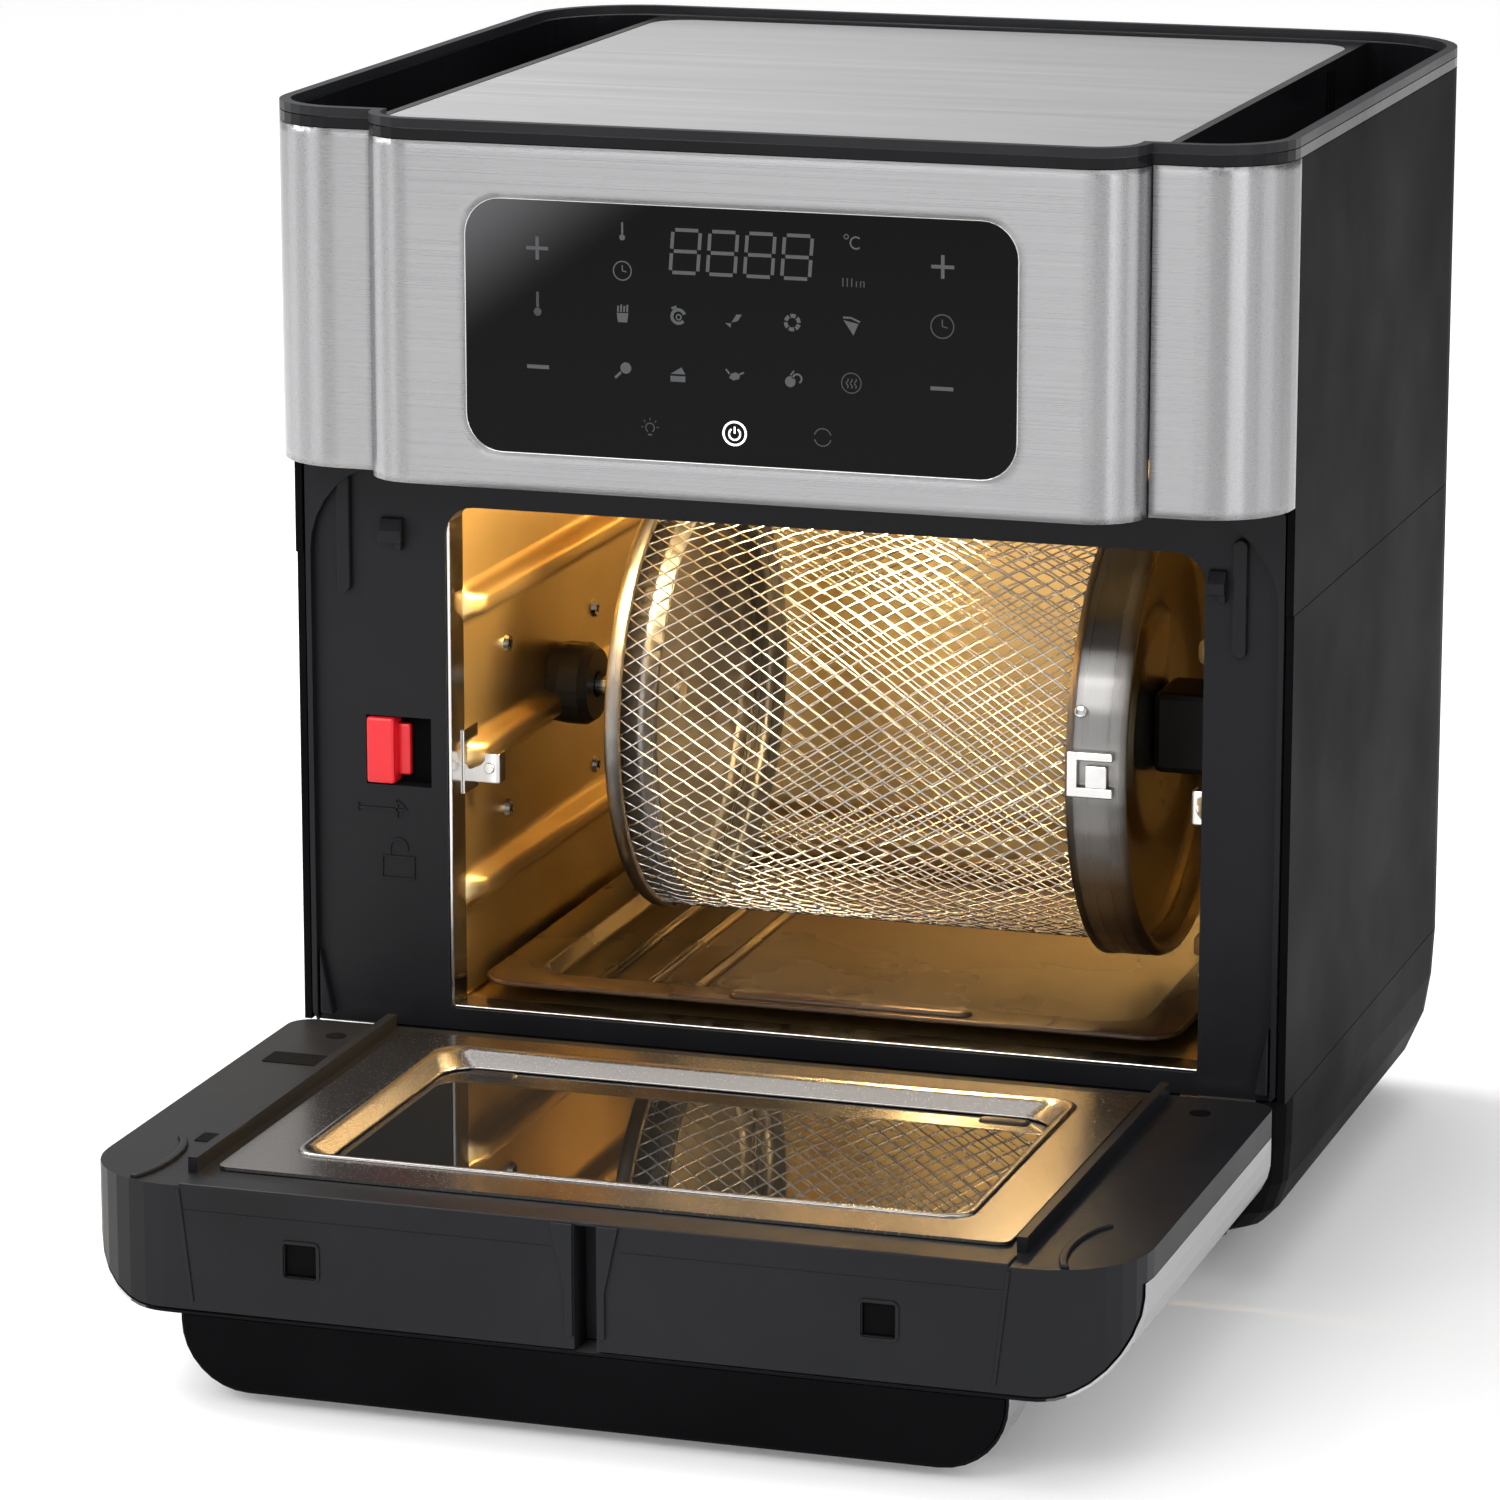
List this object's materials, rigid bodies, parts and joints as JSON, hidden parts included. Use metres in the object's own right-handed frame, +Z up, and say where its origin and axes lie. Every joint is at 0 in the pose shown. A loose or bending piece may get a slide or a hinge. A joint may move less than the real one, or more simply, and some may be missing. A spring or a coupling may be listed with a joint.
{
  "type": "rotisserie oven",
  "caption": "Countertop air-fry oven with steel console, touch display, drop-down glass door and a turning wire-mesh rotisserie drum over a drip tray.",
  "frame": {"origin": "on the floor plane under the middle of the whole part with its door down", "axes": "+X to the right seen from the front, +Y from the door to the back, +Z up"},
  "size_m": [0.33, 0.4632, 0.37],
  "materials": {
    "gloss_cover": "gloss black",
    "satin_rim": "satin dark grey",
    "brushed_steel": "fine brushed",
    "black_shell": "semi-gloss black",
    "black_rubber": "matt",
    "display_gloss": "high gloss black",
    "board_green": "solder mask green",
    "frame_plastic": "satin black",
    "cavity_steel": "satin",
    "nonstick_tray": "non-stick coating",
    "element_steel": "heat-darkened",
    "wire_steel": "bright wire",
    "fan_aluminium": "stamped",
    "motor_steel": "plain",
    "black_heatproof": "moulded",
    "polished_steel": "polished",
    "red_plastic": "red gloss",
    "lamp_glass": "clear",
    "lamp_bulb": "warm bulb",
    "door_glass": "dark tinted",
    "plate_steel": "satin"
  },
  "bodies": {
    "oven": {"top_cover": "gloss_cover", "top_rim": "satin_rim", "top_plate": "brushed_steel", "upper_shell": "black_shell", "lower_shell": "black_shell", "base_tub": "black_shell", "foot_front_left": "black_rubber", "foot_front_right": "black_rubber", "foot_rear_left": "black_rubber", "foot_rear_right": "black_rubber", "console_skin": "brushed_steel", "console_underside": "frame_plastic", "corner_panel_left": "brushed_steel", "corner_panel_right": "brushed_steel", "display_panel": "display_gloss", "control_board": "board_green", "front_frame": "frame_plastic", "cavity_liner": "cavity_steel", "heating_element": "element_steel", "heater_guard": "wire_steel", "fan_motor": "motor_steel", "drum_motor": "motor_steel", "lamp_lens": "lamp_glass", "lamp_bulb": "lamp_bulb", "rack_clip_left": "polished_steel", "rack_clip_right": "polished_steel", "wall_screw_1": "polished_steel", "wall_screw_2": "polished_steel", "wall_screw_3": "polished_steel", "wall_screw_4": "polished_steel", "cord_gland": "black_rubber"},
    "door": {"door_frame": "frame_plastic", "door_skin": "brushed_steel", "outer_glass": "door_glass", "inner_glass": "door_glass", "door_plate": "plate_steel", "latch_magnet_left": "black_heatproof", "latch_magnet_right": "black_heatproof", "handle_grip": "frame_plastic", "handle_band": "brushed_steel", "hinge_pin_left": "polished_steel", "hinge_pin_right": "polished_steel"},
    "drum": {"drive_socket": "black_heatproof", "drum_mesh": "wire_steel", "drum_end_left": "polished_steel", "drum_pin": "polished_steel", "drum_end_right": "polished_steel", "drum_drive_block": "black_heatproof", "drum_clip": "polished_steel"},
    "fan": {"fan_wheel": "fan_aluminium"},
    "socket": {"spring_socket": "black_heatproof"},
    "lever": {"release_lever": "red_plastic"},
    "switch": {"door_switch": "black_heatproof"},
    "tray": {"drip_tray": "nonstick_tray"}
  },
  "joints": [
    {"name": "door_hinge", "type": "hinge", "parent": "oven", "child": "door", "pos_m": [0, -0.04465, 0.065], "axis": [-1, 0, 0], "range_deg": [0, 90]},
    {"name": "drum_spin", "type": "hinge", "parent": "oven", "child": "drum", "pos_m": [0, 0.06935, 0.1585], "axis": [1, 0, 0], "continuous": true},
    {"name": "fan_spin", "type": "hinge", "parent": "oven", "child": "fan", "pos_m": [0.005, 0.07935, 0.274], "axis": [0, 0, 1], "continuous": true},
    {"name": "tray_slide", "type": "slide", "parent": "oven", "child": "tray", "axis": [0, -1, 0], "range_m": [0, 0.018]},
    {"name": "lever_slide", "type": "slide", "parent": "oven", "child": "lever", "axis": [1, 0, 0], "range_m": [0, 0.008], "stiffness_N_per_m": 150},
    {"name": "socket_slide", "type": "slide", "parent": "oven", "child": "socket", "axis": [-1, 0, 0], "range_m": [0, 0.008]},
    {"name": "switch_press", "type": "slide", "parent": "oven", "child": "switch", "axis": [0, 1, 0], "range_m": [0, 0.003], "stiffness_N_per_m": 150}
  ],
  "couplings": [
    {"joint": "socket_slide", "follows": "lever_slide", "ratio": 1}
  ]
}
